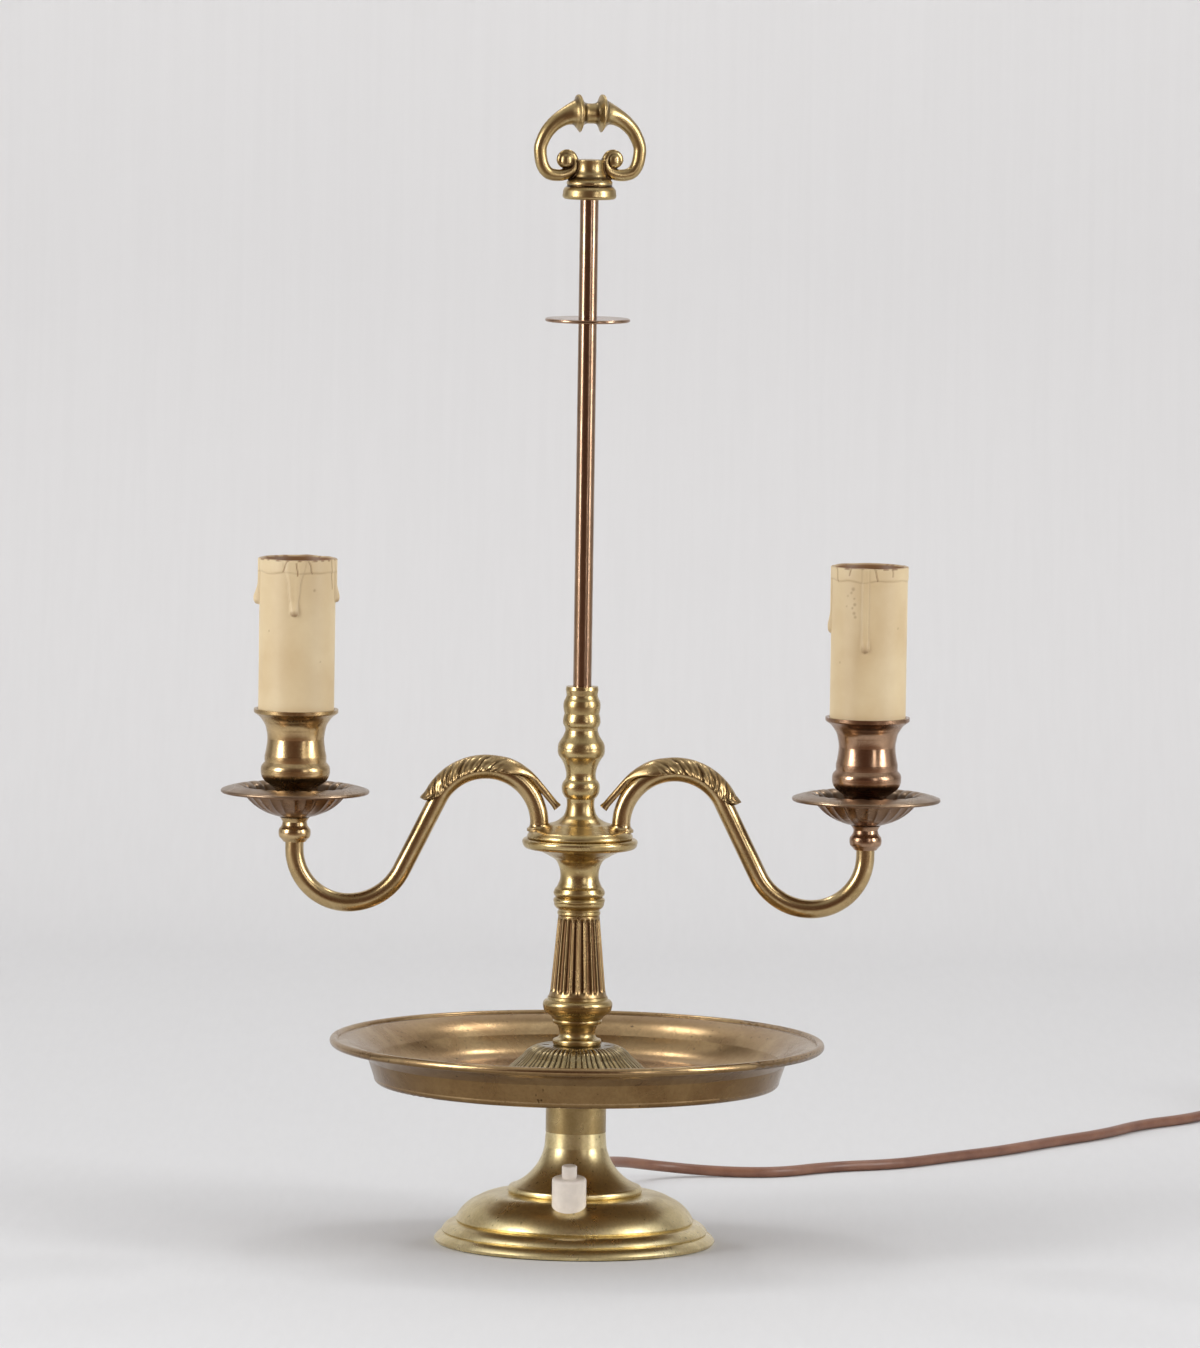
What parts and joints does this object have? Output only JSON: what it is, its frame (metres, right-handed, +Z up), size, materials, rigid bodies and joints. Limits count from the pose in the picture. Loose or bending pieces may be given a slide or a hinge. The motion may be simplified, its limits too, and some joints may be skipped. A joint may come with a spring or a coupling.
{
  "type": "bouillotte lamp",
  "caption": "Brass table lamp with a round tray, reeded dome and fluted column, curved candle arms with drip pans and ivory candle sleeves, a shade rod and a ring handle.",
  "frame": {"origin": "centre of the base's underside, on the table", "axes": "+Z up along the lamp's stem; +X towards the right-hand candle; the push switch faces -Y and the mains cord leaves at +Y"},
  "size_m": [0.5468, 0.6328, 0.4984],
  "materials": {
    "brass": "polished, lacquered, lightly tarnished",
    "tray_bronze": "aged brown patina, waxed",
    "cup_brass": "aged, brownish",
    "handle_brass": "aged olive, satin",
    "rod_brass": "copper-brown, satin",
    "ivory_sleeve": "ivory, moulded wax drips",
    "white_switch": "off-white, semi-gloss",
    "switch_insulator": "moulded",
    "steel": "zinc plated",
    "cast_iron": "black painted",
    "felt": "dark green felt",
    "holder_insulator": "black phenolic",
    "holder_metal": "nickel plated",
    "cord_plastic": "brown, semi-gloss"
  },
  "bodies": {
    "lamp": {"arm_leaf_left": "cup_brass", "arm_leaf_right": "cup_brass", "arm_left": "brass", "arm_right": "brass", "arm_wire_left": "cord_plastic", "arm_wire_right": "cord_plastic", "base_felt": "felt", "base_nut": "steel", "base_shell": "brass", "base_washer": "steel", "base_weight": "cast_iron", "candle_cup_left": "cup_brass", "candle_cup_right": "cup_brass", "collar": "brass", "column_capital": "brass", "column_foot": "brass", "column_shaft": "brass", "cord": "cord_plastic", "cord_coil": "cord_plastic", "cord_gland": "cord_plastic", "cup_nut_left": "steel", "cup_nut_right": "steel", "drip_pan_left": "cup_brass", "drip_pan_right": "cup_brass", "feed_wires": "cord_plastic", "ferrule_left": "brass", "ferrule_right": "brass", "holder_body_left": "holder_insulator", "holder_body_right": "holder_insulator", "holder_contact_left": "holder_metal", "holder_contact_right": "holder_metal", "holder_shell_left": "holder_metal", "holder_shell_right": "holder_metal", "holder_stem_left": "steel", "holder_stem_right": "steel", "hub_nut": "steel", "hub_plate": "brass", "inner_cord": "cord_plastic", "lower_rod": "rod_brass", "plug_body": "cord_plastic", "plug_pins": "holder_metal", "reeded_dome": "brass", "rod_stud": "rod_brass", "shade_rest": "rod_brass", "spindle": "brass", "switch_body": "switch_insulator", "switch_cap": "white_switch", "switch_ring_nut": "steel", "switch_spring": "steel", "switch_terminals": "steel", "tie_tube": "steel", "tray": "tray_bronze", "upper_rod": "rod_brass"},
    "button": {"switch_button": "white_switch"},
    "sleeve_left": {"candle_sleeve_left": "ivory_sleeve"},
    "sleeve_right": {"candle_sleeve_right": "ivory_sleeve"},
    "handle": {"handle": "handle_brass"}
  },
  "joints": [
    {"name": "switch_press", "type": "slide", "parent": "lamp", "child": "button", "axis": [0, 0.1219, -0.9925], "range_m": [0, 0.003], "stiffness_N_per_m": 500, "springref_m": -0.002, "deforming": ["switch_spring"]},
    {"name": "sleeve_left_lift", "type": "slide", "parent": "lamp", "child": "sleeve_left", "axis": [0, 0, 1], "range_m": [0, 0.07]},
    {"name": "sleeve_right_lift", "type": "slide", "parent": "lamp", "child": "sleeve_right", "axis": [0, 0, 1], "range_m": [0, 0.07]},
    {"name": "handle_unscrew", "type": "hinge", "parent": "lamp", "child": "handle", "pos_m": [0, 0, 0.4533], "axis": [0, 0, 1], "continuous": true}
  ]
}
